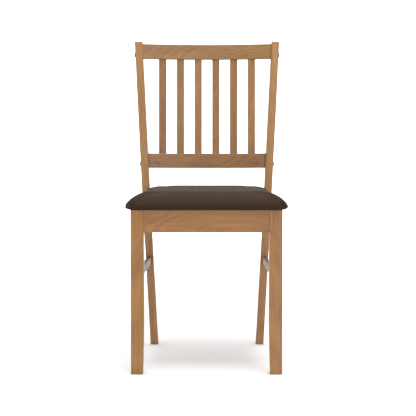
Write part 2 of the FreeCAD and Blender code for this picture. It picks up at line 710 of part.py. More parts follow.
FRONT_BLOCK_PLAN = [
    ("block_reach_x", APRON_BACK),
    (LEG_INNER_X, APRON_BACK),
    (LEG_INNER_X, LEG_REAR_Y),
    (side_inner_x("0"), LEG_REAR_Y),
    (side_inner_x(BLOCK_RUN), f"{LEG_REAR_Y} + {BLOCK_RUN}"),
]
REAR_BLOCK_PLAN = [
    ("block_reach_x", REAR_APRON_Y),
    (side_inner_x(SIDE_RUN), REAR_APRON_Y),
    (side_inner_x(SIDE_RUN), JOINT_Y),
    (REAR_SIDE_X, f"{JOINT_Y} - {BLOCK_RUN}"),
]


# The seat


def make_seat_layer(name, side, back, low, high, corner, rolls=()):
    """A flat solid in the seat's plan, inset from its sides and its back, with rounded front corners.

    The plan is a trapezium with its two rear corners notched round the posts. The rolls are the radii of the
    lower and the upper edges at the front and sides.
    """
    body = named("PartDesign::Body", name)
    notch_x, notch_y = f"seat_notch_half - {back}", f"front_y + seat_notch_setback - {back}"
    right = [
        (f"seat_front_half - {side}", f"front_y - seat_front_overhang + {side}"),
        (f"seat_rear_half - {side}", notch_y),
        (notch_x, notch_y),
        (notch_x, f"front_y + seat_back_setback - {back}"),
    ]
    left = [(f"-({x})", y) for x, y in reversed(right)]
    pad(body, draw_polygon(sketch_on(body, "XY_Plane", "plan", low), right + left), f"{high} - ({low})")
    front_half = number_of("front_y + seat_notch_setback / 2")
    rear = number_of(notch_y) - 1
    halfway_up = number_of(f"({low} + {high}) / 2")

    def at_front(edge):
        """An upright edge at the front."""
        return along(2)(edge) and middle(edge).y < front_half

    def lower_rim(edge):
        """An edge of the underside, at the front or a side."""
        return not along(2)(edge) and middle(edge).y < rear and middle(edge).z < halfway_up

    def upper_rim(edge):
        """An edge of the top, at the front or a side."""
        return not along(2)(edge) and middle(edge).y < rear and middle(edge).z > halfway_up

    round_edges(body, "corners", corner, at_front)
    for label, roll, rim in zip(("low_roll", "top_roll"), rolls, (lower_rim, upper_rim)):
        round_edges(body, label, roll, rim)
    return body


def make_under_layer(name, inset, low, high):
    """A flat sheet under the board in the seat's plan, inset all round and without notches."""
    body = named("PartDesign::Body", name)
    front_y = f"front_y - seat_front_overhang + {inset}"
    rear_y = f"front_y + seat_notch_setback - ({inset}) / 2"
    right = [(f"seat_front_half - {inset}", front_y), (f"seat_rear_half - {inset}", rear_y)]
    left = [(f"-({x})", y) for x, y in reversed(right)]
    pad(body, draw_polygon(sketch_on(body, "XY_Plane", "plan", low), right + left), f"{high} - ({low})")
    return body


def make_staple(name, place):
    """A staple: a crown with two legs that point up."""
    wire = "staple_wire"
    crown_place = frame("-staple_crown / 2", z=f"-{wire}")
    crown = box(f"{name}_crown", "staple_crown", wire, wire, f"{place} * {crown_place}")
    legs = [
        box(f"{name}_leg_{side}", wire, wire, "staple_leg", f"{place} * {frame(x)}")
        for side, x in (("a", "-staple_crown / 2"), ("b", f"staple_crown / 2 - {wire}"))
    ]
    return fuse(name, crown, *legs)


def make_staples(inset):
    """Staples round the opening in the turned-under cover, each along its edge."""
    low = "frame_top - dust_cover_thick"
    front_half, rear_half = f"(seat_front_half - ({inset}))", f"(seat_rear_half - ({inset}))"
    front_y = f"(front_y - seat_front_overhang + {inset})"
    rear_y = f"(front_y + seat_notch_setback - ({inset}) / 2)"
    side_turn = f"atan(({rear_y} - {front_y}) / ({front_half} - {rear_half}))"
    staples = []
    for index in range(STAPLES_ACROSS):
        share = (index + 0.5) / STAPLES_ACROSS * 2 - 1
        staples.append(make_staple(f"front_staple_{index}", frame(f"{share} * {front_half}", front_y, low)))
        staples.append(make_staple(f"rear_staple_{index}", frame(f"{share} * {rear_half}", rear_y, low)))
    for index in range(STAPLES_ALONG):
        share = (index + 0.5) / STAPLES_ALONG
        x = f"({front_half} + {share} * ({rear_half} - {front_half}))"
        y = f"{front_y} + {share} * ({rear_y} - {front_y})"
        staples.append(make_staple(f"right_staple_{index}", frame(x, y, low, turn=f"-{side_turn}")))
        staples.append(make_staple(f"left_staple_{index}", frame(f"-{x}", y, low, turn=side_turn)))
    return group("cover_staples", *staples)


# Assembly

leg_blank = make_leg_blank()
post_blank = make_post_blank()
left_post_blank = mirrored("left_post_blank", post_blank)

front_core = make_apron_core("front_apron_core", "(front_y + apron_inset)", f"{LEG_INNER_X} + leg_tenon")
rear_core = make_apron_core("rear_apron_core", REAR_APRON_Y, f"{POST_INNER_AT_APRON} + post_tenon")
front_apron_joined = make_front_apron(front_core)
rear_apron_joined = make_rear_apron(rear_core)
side_apron_joined, side_core = make_side_apron()
right_stretcher, stretcher_core = make_stretcher(leg_blank, post_blank)

slats, slat_cores = make_slats()
crest_fixings, crest_holes, crest_post_holes = make_rail_fixings("crest", "rail_spacing")
lower_fixings, lower_holes, lower_post_holes = make_rail_fixings("lower_rail", "0")
crest_low, rail_low = "(rail_spacing - crest_height / 2)", "(-lower_rail_height / 2)"
crest_rail = make_rail("crest_rail", crest_low, "crest_height", "rail_spacing", crest_holes)
lower_back_rail = make_rail("lower_back_rail", rail_low, "lower_rail_height", "0", lower_holes)

right_front_leg = cut("right_front_leg", leg_blank, front_core, side_core, stretcher_core)
post_cores = (rear_core, side_core, stretcher_core)
right_rear_post = cut("right_rear_post", post_blank, *post_cores, *crest_post_holes, *lower_post_holes)

front_side_y = f"{LEG_REAR_Y} + screw_along_y"
rear_side_y = f"{JOINT_Y} - screw_along_y"
front_seat_y = f"{APRON_BACK} + seat_screw_in"
rear_seat_y = f"{REAR_APRON_Y} - seat_screw_in"
front_screws, front_drills = make_block_fixings(
    "front", APRON_BACK, FRONT_SLOPE, True, front_side_y, front_seat_y
)
rear_screws, rear_drills = make_block_fixings(
    "rear", REAR_APRON_Y, REAR_SLOPE, False, rear_side_y, rear_seat_y
)
right_front_block = make_corner_block("right_front_corner_block", FRONT_BLOCK_PLAN, front_drills)
right_rear_block = make_corner_block("right_rear_corner_block", REAR_BLOCK_PLAN, rear_drills)
right_side_apron = cut("right_side_apron", side_apron_joined, front_drills["side"], rear_drills["side"])


def both_sides(piece):
    """A right-hand piece and its left-hand copy."""
    return piece, mirrored(f"left_{piece.Label}", piece)


front_apron = cut("front_apron", front_apron_joined, *both_sides(front_drills["across"]))
rear_apron = cut("rear_apron", rear_apron_joined, *both_sides(rear_drills["across"]))

seat_low = "frame_top"
seat_drills = both_sides(front_drills["seat"]) + both_sides(rear_drills["seat"])
gap_in = "cover_thick + foam_gap"
cover_outside = make_seat_layer(
    "cover_outside", "0", "0", seat_low, "seat_height", "seat_corner", ("seat_low_roll", "seat_top_roll")
)
cover_inside = make_seat_layer(
    "cover_inside",
    "cover_thick",
    "cover_thick",
    f"{seat_low} + cover_thick",
    "seat_height - cover_thick",
    "seat_corner - cover_thick",
    ("seat_low_roll - cover_thick", "seat_top_roll - cover_thick"),
)
foam_blank = make_seat_layer(
    "foam_blank",
    f"({gap_in})",
    f"({gap_in})",
    f"{seat_low} + {gap_in}",
    f"seat_height - ({gap_in})",
    f"seat_corner - ({gap_in})",
    (f"seat_low_roll - ({gap_in})", f"seat_top_roll - ({gap_in})"),
)
board_low = f"{seat_low} + cover_thick"
board_high = f"{board_low} + board_thick"
board_blank = make_seat_layer(
    "board_blank", "board_inset", "board_notch_inset", board_low, board_high, "seat_corner - board_inset"
)
opening = make_under_layer("opening", "board_inset + turn_under", f"{seat_low} - 1", board_low)
dust_inset = "(board_inset + turn_under - dust_cover_overlap)"
dust_blank = make_under_layer("dust_cover_blank", dust_inset, f"{seat_low} - dust_cover_thick", seat_low)
staples = make_staples("(board_inset + turn_under - staple_margin)")
seat_foam = cut("seat_foam", foam_blank, board_blank)
seat_board = cut("seat_board", board_blank, staples, *seat_drills)
seat_cover = cut("seat_cover", cover_outside, cover_inside, opening, staples, *seat_drills)
dust_cover = cut("seat_dust_cover", dust_blank, staples, *seat_drills)

single = [
    front_apron, rear_apron, crest_rail, lower_back_rail, *slats,
    seat_board, seat_foam, seat_cover, dust_cover, staples,
]
paired = [
    right_front_leg, right_rear_post, right_side_apron, right_stretcher, right_front_block, right_rear_block,
]
mirrored_pieces = [mirrored(piece.Label.replace("right", "left", 1), piece) for piece in paired]
rail_ends = zip(crest_fixings, lower_fixings, ("bolts", "barrel_nuts", "dowels"))
fixings = [
    group(f"back_rail_{kind}", *both_sides(crest), *both_sides(lower)) for crest, lower, kind in rail_ends
]
block_screws = [screws[kind] for screws in (front_screws, rear_screws) for kind in ("across", "side")]
seat_screws = [screws["seat"] for screws in (front_screws, rear_screws)]
for name, screws in (("corner_block_screws", block_screws), ("seat_screws", seat_screws)):
    fixings.append(group(name, *(copy for screw in screws for copy in both_sides(screw))))

doc.recompute()
failed = [item.Label for item in doc.Objects if {"Invalid", "Error"} & set(item.State)]
if failed:
    raise RuntimeError(f"these objects didn't compute: {failed}")
os.makedirs("parts", exist_ok=True)
for piece in single + paired + mirrored_pieces + fixings:
    if piece.Shape.isNull() or not piece.Shape.isValid():
        raise RuntimeError(f"{piece.Label} isn't a valid shape")
    piece.Shape.exportStep(f"parts/{piece.Label}.step")
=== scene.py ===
"""A slat-back dining chair in lacquered oak, with a slip seat covered in dark brown coated leather.

The wooden frame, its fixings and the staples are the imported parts, dressed in materials. The seat's cover and
the dust cover under it are soft, so they are built here.
"""

from __future__ import annotations

import logging
import math
from dataclasses import dataclass, field
from enum import Enum
from typing import Any

import bpy
import numpy as np
from mathutils import Euler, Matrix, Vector

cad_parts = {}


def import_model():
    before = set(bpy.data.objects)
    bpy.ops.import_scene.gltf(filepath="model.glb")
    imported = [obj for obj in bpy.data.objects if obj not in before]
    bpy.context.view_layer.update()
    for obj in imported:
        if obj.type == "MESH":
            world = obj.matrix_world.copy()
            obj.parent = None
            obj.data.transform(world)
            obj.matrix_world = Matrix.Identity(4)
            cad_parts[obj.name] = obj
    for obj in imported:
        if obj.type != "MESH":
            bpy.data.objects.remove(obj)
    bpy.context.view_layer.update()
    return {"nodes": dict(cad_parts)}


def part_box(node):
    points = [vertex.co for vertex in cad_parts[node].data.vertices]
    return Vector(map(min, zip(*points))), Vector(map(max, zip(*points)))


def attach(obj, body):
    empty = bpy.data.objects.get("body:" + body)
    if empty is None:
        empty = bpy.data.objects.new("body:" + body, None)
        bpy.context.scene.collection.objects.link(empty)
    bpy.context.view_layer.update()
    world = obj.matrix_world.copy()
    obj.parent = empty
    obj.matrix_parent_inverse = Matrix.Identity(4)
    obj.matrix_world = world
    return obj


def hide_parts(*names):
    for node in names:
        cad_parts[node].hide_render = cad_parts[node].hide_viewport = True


LOG = logging.getLogger("dining_chair")
MM = 0.001
BODY = "root"
# What each share of the oak's figure adds to its tone
RING_WEIGHT, FIBRE_WEIGHT, DRIFT_WEIGHT = 0.9, 1.3, 1.1
# The wave texture turns by this many radians in each unit of scaled distance
WAVE_RADIANS = 20.0

Colour = tuple[float, float, float, float]


# Small tools


def linear(code: str) -> Colour:
    """Turn an sRGB hex code into linear colour.

    Args:
        code: six hexadecimal digits after a #.

    Returns:
        Red, green, blue and an alpha of 1, for a colour socket.
    """
    shares = [int(code[start : start + 2], 16) / 255 for start in (1, 3, 5)]
    levels = [share / 12.92 if share <= 0.04045 else ((share + 0.055) / 1.055) ** 2.4 for share in shares]
    return (*levels, 1.0)


def add_node(
    tree: bpy.types.NodeTree, kind: str, inputs: dict[Any, Any] | None = None, **settings: Any
) -> bpy.types.Node:
    """Add a node with its settings and inputs.

    Args:
        tree: the tree that the node goes in.
        kind: the node's type, without the ShaderNode in front.
        inputs: an input's name or number, and the output to link to it or the number or colour it holds.
        settings: the node's own properties.

    Returns:
        The node.
    """
    node = tree.nodes.new(f"ShaderNode{kind}")
    for name, value in settings.items():
        setattr(node, name, value)
    for name, value in (inputs or {}).items():
        if isinstance(value, bpy.types.NodeSocket):
            tree.links.new(value, node.inputs[name])
        else:
            node.inputs[name].default_value = value
    return node


def new_material(name: str) -> tuple[bpy.types.Material, bpy.types.NodeTree, bpy.types.Node]:
    """Start a material.

    Args:
        name: the material's name.

    Returns:
        The material, its node tree and its principled shader.
    """
    material = bpy.data.materials.new(name)
    material.use_nodes = True
    tree = material.node_tree
    return material, tree, tree.nodes["Principled BSDF"]


def dress(piece: bpy.types.Object, material: bpy.types.Material) -> None:
    """Put one material in every slot of a piece.

    Args:
        piece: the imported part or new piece.
        material: its finish.
    """
    if not piece.material_slots:
        piece.data.materials.append(material)
    for slot in piece.material_slots:
        slot.material = material


def middle_of(node: str) -> np.ndarray:
    """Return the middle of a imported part's box, in metres."""
    low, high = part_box(node)
    return (np.array(low) + np.array(high)) / 2


def mesh_object(name: str, points: np.ndarray, faces: np.ndarray) -> bpy.types.Object:
    """Make a smooth-shaded mesh object from arrays.

    Args:
        name: the object's name.
        points: an array of places in metres, three numbers each.
        faces: an array of four point numbers for each face.

    Returns:
        The object, linked to the scene.
    """
    mesh = bpy.data.meshes.new(name)
    mesh.from_pydata(points.reshape(-1, 3).tolist(), [], faces.tolist())
    mesh.polygons.foreach_set("use_smooth", np.ones(len(mesh.polygons), dtype=bool))
    mesh.update()
    made = bpy.data.objects.new(name, mesh)
    bpy.context.scene.collection.objects.link(made)
    return made


def grid_faces(rows: int, columns: int, closed: bool) -> np.ndarray:
    """Number the four corners of every face of a grid of points.

    Args:
        rows: how many rows of points.
        columns: how many points in a row.
        closed: whether each row joins up into a ring.

    Returns:
        One row of four point numbers for each face, turning anticlockwise when rows run upwards.
    """
    row = np.arange(rows - 1)[:, None] * columns
    column = np.arange(columns if closed else columns - 1)[None, :]
    after = (column + 1) % columns
    corners = [row + column, row + after, row + columns + after, row + columns + column]
    return np.stack(corners, axis=-1).reshape(-1, 4)


def mesh_points(mesh: bpy.types.Mesh) -> np.ndarray:
    """Read a mesh's points.

    Args:
        mesh: the mesh.

    Returns:
        An array of places in metres, three numbers each.
    """
    flat = np.empty(len(mesh.vertices) * 3)
    mesh.vertices.foreach_get("co", flat)
    return flat.reshape(-1, 3)


def set_mesh_points(mesh: bpy.types.Mesh, points: np.ndarray) -> None:
    """Move a mesh's points to the places in an array."""
    mesh.vertices.foreach_set("co", points.reshape(-1))
    mesh.update()


# Finishes


class Grain(Enum):
    """The way a piece's grain runs, as the turn in degrees that brings the pattern's length onto it."""

    UPRIGHT = (0.0, 0.0, 0.0)
    ACROSS = (0.0, 90.0, 0.0)
    FRONT_TO_BACK = (90.0, 0.0, 0.0)


@dataclass(frozen=True)
class LacqueredOak:
    """Planed and sanded oak under a satin honey-brown lacquer.

    Fine fibres run the length of the piece. The growth rings show between them as soft, uneven streaks, which
    slant across or close into arches where the saw crossed them. The lacquer fills the pores, so the sheen is
    even. Shade is painted along the eased edges, which darkens them.

    The heart is where the log's middle lies from the piece's. It, the ring's width, how far it wanders and
    the reach of the painted edge shade are in millimetres, the slant is in degrees and the joint's height is in
    metres. A scale is how many cells a noise has in a metre.
    """

    name: str
    light: str
    dark: str
    grain: Grain = Grain.UPRIGHT
    heart: tuple[float, float, float] = (22.0, 46.0, 0.0)
    slant: float = 14.0
    ring: float = 6.0
    wander: float = 9.0
    # The tone of the shade painted along the eased edges
    edge: str = "#744823"
    gloss: float = 1.0
    joint_height: float | None = None
    joint_tone: str = "#A0744F"
    joint_share: float = 0.6
    ring_stretch: float = 12.0
    fibre_stretch: float = 45.0
    wander_scale: float = 13.0
    drift_scale: float = 30.0
    fibre_scale: float = 300.0
    edge_shade_reach: float = 3.0

    def coordinates(
        self,
        tree: bpy.types.NodeTree,
        spot: bpy.types.NodeSocket,
        middle: np.ndarray,
        lean: float,
        stretch: float,
    ) -> bpy.types.NodeSocket:
        """Turn a place on the piece into a place in the log it was sawn from.

        Args:
            tree: the material's tree.
            spot: the place on the piece.
            middle: the middle of the piece's box in metres.
            lean: how far the log leans from the piece's length, in degrees.
            stretch: how many times longer than wide the pattern is.

        Returns:
            The place, with the log's length as its third number.
        """
        turn = Euler([math.radians(angle) for angle in self.grain.value]).to_matrix()
        leaning = (turn @ Euler((math.radians(lean), 0, 0)).to_matrix()).to_euler()
        place = tuple(np.array(middle) + np.array(self.heart) * MM)
        inputs = {"Vector": spot, "Location": place, "Rotation": leaning, "Scale": (1, 1, stretch)}
        return add_node(tree, "Mapping", inputs, vector_type="TEXTURE").outputs["Vector"]

    def figure(
        self, tree: bpy.types.NodeTree, board: bpy.types.NodeSocket, fibre: bpy.types.NodeSocket
    ) -> bpy.types.NodeSocket:
        """Work out how dark the wood is.

        A ring's darkness is noise along one line, read at the distance from the heart plus a slow wander, in
        ring widths, so that no two rings are alike. The fibres and a slow drift of tone are added to it.

        Args:
            tree: the material's tree.
            board: the place in the log.
            fibre: the fibres' noise.

        Returns:
            0 where the wood is light and 1 where it is dark.
        """
        slow = {"Vector": board, "Scale": self.wander_scale, "Detail": 2.0}
        wander = add_node(tree, "TexNoise", slow).outputs["Fac"]
        round_heart = add_node(tree, "VectorMath", {0: board, 1: (1, 1, 0)}, operation="MULTIPLY").outputs[0]
        away = add_node(tree, "VectorMath", {0: round_heart}, operation="LENGTH").outputs["Value"]
        count = add_node(tree, "Math", {0: away, 1: 1 / (self.ring * MM)}, operation="MULTIPLY").outputs[0]
        strayed = {0: wander, 1: 2 * self.wander / self.ring, 2: count}
        count = add_node(tree, "Math", strayed, operation="MULTIPLY_ADD").outputs[0]
        uneven = {"W": count, "Scale": 1.0, "Detail": 3.0, "Roughness": 0.6}
        ring = add_node(tree, "TexNoise", uneven, noise_dimensions="1D").outputs["Fac"]
        patches = {"Vector": board, "Scale": self.drift_scale, "Detail": 2.0}
        drift = add_node(tree, "TexNoise", patches).outputs["Fac"]
        share = add_node(tree, "Math", {0: ring, 1: RING_WEIGHT}, operation="MULTIPLY").outputs[0]
        for tone, weight in ((fibre, FIBRE_WEIGHT), (drift, DRIFT_WEIGHT)):
            added = {0: tone, 1: weight, 2: share}
            share = add_node(tree, "Math", added, operation="MULTIPLY_ADD").outputs[0]
        centre = (RING_WEIGHT + FIBRE_WEIGHT + DRIFT_WEIGHT) / 2
        reach = {"Value": share, "From Min": centre - 0.5, "From Max": centre + 0.5}
        return add_node(tree, "MapRange", reach).outputs["Result"]

    def build(self, middle: np.ndarray) -> bpy.types.Material:
        """Make the material.

        Args:
            middle: the middle of the piece's box in metres.

        Returns:
            The material.
        """
        material, tree, shader = new_material(self.name)
        spot = add_node(tree, "TexCoord").outputs["Object"]
        board = self.coordinates(tree, spot, middle, self.slant, self.ring_stretch)
        straight = self.coordinates(tree, spot, middle, 0, self.fibre_stretch)
        # At this scale the fibres lie 3.3 mm apart so that they show: real ones are ten times finer
        fibres = {"Vector": straight, "Scale": self.fibre_scale, "Detail": 4.0}
        fibre = add_node(tree, "TexNoise", fibres).outputs["Fac"]
        share = self.figure(tree, board, fibre)
        tones = {"Factor": share, 6: linear(self.light), 7: linear(self.dark)}
        wood = add_node(tree, "Mix", tones, data_type="RGBA").outputs[2]
        if self.joint_height is not None:
            height = add_node(tree, "SeparateXYZ", {"Vector": spot}).outputs["Z"]
            joint = {0: height, 1: self.joint_height}
            above = add_node(tree, "Math", joint, operation="GREATER_THAN").outputs[0]
            above = add_node(tree, "Math", {0: above, 1: self.joint_share}, operation="MULTIPLY").outputs[0]
            tones = {"Factor": above, 6: wood, 7: linear(self.joint_tone)}
            wood = add_node(tree, "Mix", tones, data_type="RGBA").outputs[2]
        # Painted shade: occlusion inside the piece finds its eased edges, and they are darkened towards the
        # edge tone
        near = {"Distance": self.edge_shade_reach * MM}
        edge = add_node(tree, "AmbientOcclusion", near, inside=True, only_local=True, samples=6).outputs["AO"]
        limits = {"Value": edge, "From Min": 0.35, "From Max": 0.95, "To Min": 0.55, "To Max": 0.0}
        edge = add_node(tree, "MapRange", limits).outputs["Result"]
        tones = {"Factor": edge, 6: wood, 7: linear(self.edge)}
        wood = add_node(tree, "Mix", tones, data_type="RGBA").outputs[2]
        rough = add_node(tree, "MapRange", {"Value": fibre, "To Min": 0.40, "To Max": 0.52}).outputs["Result"]
        relief = {"Height": fibre, "Strength": 0.18, "Distance": 0.25 * MM}
        bump = add_node(tree, "Bump", relief).outputs["Normal"]
        tree.links.new(wood, shader.inputs["Base Color"])
        tree.links.new(rough, shader.inputs["Roughness"])
        tree.links.new(bump, shader.inputs["Normal"])
        shader.inputs["IOR"].default_value = 1.48
        shader.inputs["Specular IOR Level"].default_value = 0.5 * self.gloss
        shader.inputs["Coat Weight"].default_value = 0.12 * self.gloss
        shader.inputs["Coat Roughness"].default_value = 0.3
        return material


@dataclass(frozen=True)
class BareWood:
    """Unfinished wood, sawn, sanded or turned: dry and matt, with its fibres standing slightly proud.

    Layers is the thickness of a plywood's plies in millimetres, or nought for solid wood.
    """

    name: str
    light: str
    dark: str
    grain: Grain
    layers: float = 0.0
    stretch: float = 25.0
    fibre_scale: float = 500.0

    def build(self, middle: np.ndarray) -> bpy.types.Material:
        """Make the material.

        Args:
            middle: the middle of the piece's box in metres.

        Returns:
            The material.
        """
        material, tree, shader = new_material(self.name)
        spot = add_node(tree, "TexCoord").outputs["Object"]
        turn = Euler([math.radians(angle) for angle in self.grain.value])
        sawn = {"Vector": spot, "Location": tuple(middle), "Rotation": turn, "Scale": (1, 1, self.stretch)}
        place = add_node(tree, "Mapping", sawn, vector_type="TEXTURE").outputs["Vector"]
        fibres = {"Vector": place, "Scale": self.fibre_scale, "Detail": 4.0}
        fibre = add_node(tree, "TexNoise", fibres).outputs["Fac"]
        contrast = {"Value": fibre, "From Min": 0.3, "From Max": 0.7}
        share = add_node(tree, "MapRange", contrast).outputs["Result"]
        if self.layers:
            # One light and one dark ply make a whole wave
            plies = {"Vector": spot, "Scale": 2 * math.pi / (WAVE_RADIANS * 2 * self.layers * MM)}
            ply = add_node(tree, "TexWave", plies, bands_direction="Z").outputs["Fac"]
            share = add_node(tree, "Math", {0: ply, 1: share}, operation="MULTIPLY").outputs[0]
        tones = {"Factor": share, 6: linear(self.light), 7: linear(self.dark)}
        wood = add_node(tree, "Mix", tones, data_type="RGBA").outputs[2]
        relief = {"Height": fibre, "Strength": 0.5, "Distance": 0.3 * MM}
        bump = add_node(tree, "Bump", relief).outputs["Normal"]
        tree.links.new(wood, shader.inputs["Base Color"])
        tree.links.new(bump, shader.inputs["Normal"])
        shader.inputs["Roughness"].default_value = 0.78
        shader.inputs["IOR"].default_value = 1.45
        return material


@dataclass(frozen=True)
class CoatedLeather:
    """Split leather with a pigmented, embossed coating: dark brown and almost matt, with a fine pebble.

    The coating evens out the colour, and the pebble breaks up reflections, so the sheen is broad and weak.
    The top is painted a warmer, lighter brown than the sides, as the light from above makes it look.
    """

    name: str = "coated_leather_embossed"
    # The sides' brown, and the top's lighter brown, which paints the light falling from above
    side: str = "#32261E"
    top: str = "#3E2F25"
    cloud_tone: str = "#372A21"
    pebble: float = 1.6
    crease_scale: float = 260.0
    cloud_scale: float = 9.0

    def build(self) -> bpy.types.Material:
        """Make the material.

        Returns:
            The material.
        """
        material, tree, shader = new_material(self.name)
        coordinates = add_node(tree, "TexCoord")
        spot = coordinates.outputs["Object"]
        # Real pebble is 0.8 mm across: drawn at twice that so that it shows
        cells = {"Vector": spot, "Scale": 1 / (self.pebble * MM)}
        pebble = add_node(tree, "TexVoronoi", cells, feature="F1").outputs["Distance"]
        creases = {"Vector": spot, "Scale": self.crease_scale, "Detail": 5.0}
        crease = add_node(tree, "TexNoise", creases).outputs["Fac"]
        clouds = {"Vector": spot, "Scale": self.cloud_scale, "Detail": 3.0}
        cloud = add_node(tree, "TexNoise", clouds).outputs["Fac"]
        # Painted light: the more a surface faces upwards, the more of the lighter top brown it takes
        facing = add_node(tree, "SeparateXYZ", {"Vector": coordinates.outputs["Normal"]}).outputs["Z"]
        painted_top_light = {"Value": facing, "From Min": 0.35, "From Max": 1.0}
        painted_top_light = add_node(tree, "MapRange", painted_top_light, interpolation_type="SMOOTHSTEP").outputs["Result"]
        tones = {"Factor": painted_top_light, 6: linear(self.side), 7: linear(self.top)}
        hide = add_node(tree, "Mix", tones, data_type="RGBA").outputs[2]
        share = add_node(tree, "Math", {0: cloud, 1: crease}, operation="MULTIPLY").outputs[0]
        tones = {"Factor": share, 6: hide, 7: linear(self.cloud_tone)}
        hide = add_node(tree, "Mix", tones, data_type="RGBA").outputs[2]
        rough = add_node(tree, "MapRange", {"Value": crease, "To Min": 0.6, "To Max": 0.75}).outputs["Result"]
        relief = {"Height": pebble, "Strength": 0.22, "Distance": 0.2 * MM}
        fine = add_node(tree, "Bump", relief, invert=True).outputs["Normal"]
        relief = {"Height": crease, "Strength": 0.25, "Distance": 0.5 * MM, "Normal": fine}
        bump = add_node(tree, "Bump", relief).outputs["Normal"]
        tree.links.new(hide, shader.inputs["Base Color"])
        tree.links.new(rough, shader.inputs["Roughness"])
        tree.links.new(bump, shader.inputs["Normal"])
        shader.inputs["IOR"].default_value = 1.46
        shader.inputs["Specular IOR Level"].default_value = 0.07
        return material


@dataclass(frozen=True)
class NonWoven:
    """Spun-bonded black polypropylene: a thin matt felt with a grid of small welded dots."""

    name: str = "non_woven_polypropylene_spun"
    fibre: str = "#1C1C1D"
    weld: str = "#2B2B2C"
    pitch: float = 2.0
    fuzz_scale: float = 900.0

    def build(self) -> bpy.types.Material:
        """Make the material.

        Returns:
            The material.
        """
        material, tree, shader = new_material(self.name)
        spot = add_node(tree, "TexCoord").outputs["Object"]
        cells = {"Vector": spot, "Scale": 1 / (self.pitch * MM), "Randomness": 0.0}
        dots = add_node(tree, "TexVoronoi", cells, voronoi_dimensions="2D").outputs["Distance"]
        limits = {"Value": dots, "From Min": 0.22, "From Max": 0.3, "To Min": 1.0, "To Max": 0.0}
        welded = add_node(tree, "MapRange", limits).outputs["Result"]
        fuzzy = {"Vector": spot, "Scale": self.fuzz_scale, "Detail": 4.0}
        fuzz = add_node(tree, "TexNoise", fuzzy).outputs["Fac"]
        tones = {"Factor": welded, 6: linear(self.fibre), 7: linear(self.weld)}
        felt = add_node(tree, "Mix", tones, data_type="RGBA").outputs[2]
        height = add_node(tree, "Math", {0: fuzz, 1: welded}, operation="SUBTRACT").outputs[0]
        relief = {"Height": height, "Strength": 0.4, "Distance": 0.15 * MM}
        bump = add_node(tree, "Bump", relief).outputs["Normal"]
        tree.links.new(felt, shader.inputs["Base Color"])
        tree.links.new(bump, shader.inputs["Normal"])
        shader.inputs["Roughness"].default_value = 0.92
        return material


@dataclass(frozen=True)
class PlatedSteel:
    """Turned, headed or drawn steel under a thin plating, with fine tool marks and duller patches."""

    name: str
    bright: str
    dull: str
    low_roughness: float
    high_roughness: float
    patch_scale: float = 220.0
    mark_scale: float = 1800.0

    def build(self) -> bpy.types.Material:
        """Make the material.

        Returns:
            The material.
        """
        material, tree, shader = new_material(self.name)
        spot = add_node(tree, "TexCoord").outputs["Object"]
        duller = {"Vector": spot, "Scale": self.patch_scale, "Detail": 4.0}
        patches = add_node(tree, "TexNoise", duller).outputs["Fac"]
        tooled = {"Vector": spot, "Scale": self.mark_scale, "Detail": 2.0}
        marks = add_node(tree, "TexNoise", tooled).outputs["Fac"]
        tones = {"Factor": patches, 6: linear(self.bright), 7: linear(self.dull)}
        metal = add_node(tree, "Mix", tones, data_type="RGBA").outputs[2]
        limits = {"Value": patches, "To Min": self.low_roughness, "To Max": self.high_roughness}
        rough = add_node(tree, "MapRange", limits).outputs["Result"]
        relief = {"Height": marks, "Strength": 0.15, "Distance": 0.05 * MM}
        bump = add_node(tree, "Bump", relief).outputs["Normal"]
        tree.links.new(metal, shader.inputs["Base Color"])
        tree.links.new(rough, shader.inputs["Roughness"])
        tree.links.new(bump, shader.inputs["Normal"])
        shader.inputs["Metallic"].default_value = 1.0
        return material


BRONZED = PlatedSteel("bronzed_steel_headed", "#463C34", "#2E2823", 0.35, 0.55)
ZINCED = PlatedSteel("zinc_plated_steel_turned", "#B4B6B8", "#8E9092", 0.28, 0.45)
YELLOW_ZINCED = PlatedSteel("yellow_zinc_plated_steel_rolled", "#C7AF72", "#9A8657", 0.3, 0.5)
GALVANISED = PlatedSteel("galvanised_steel_wire_drawn", "#BDBFC1", "#96989A", 0.3, 0.45)


# Sub-assemblies


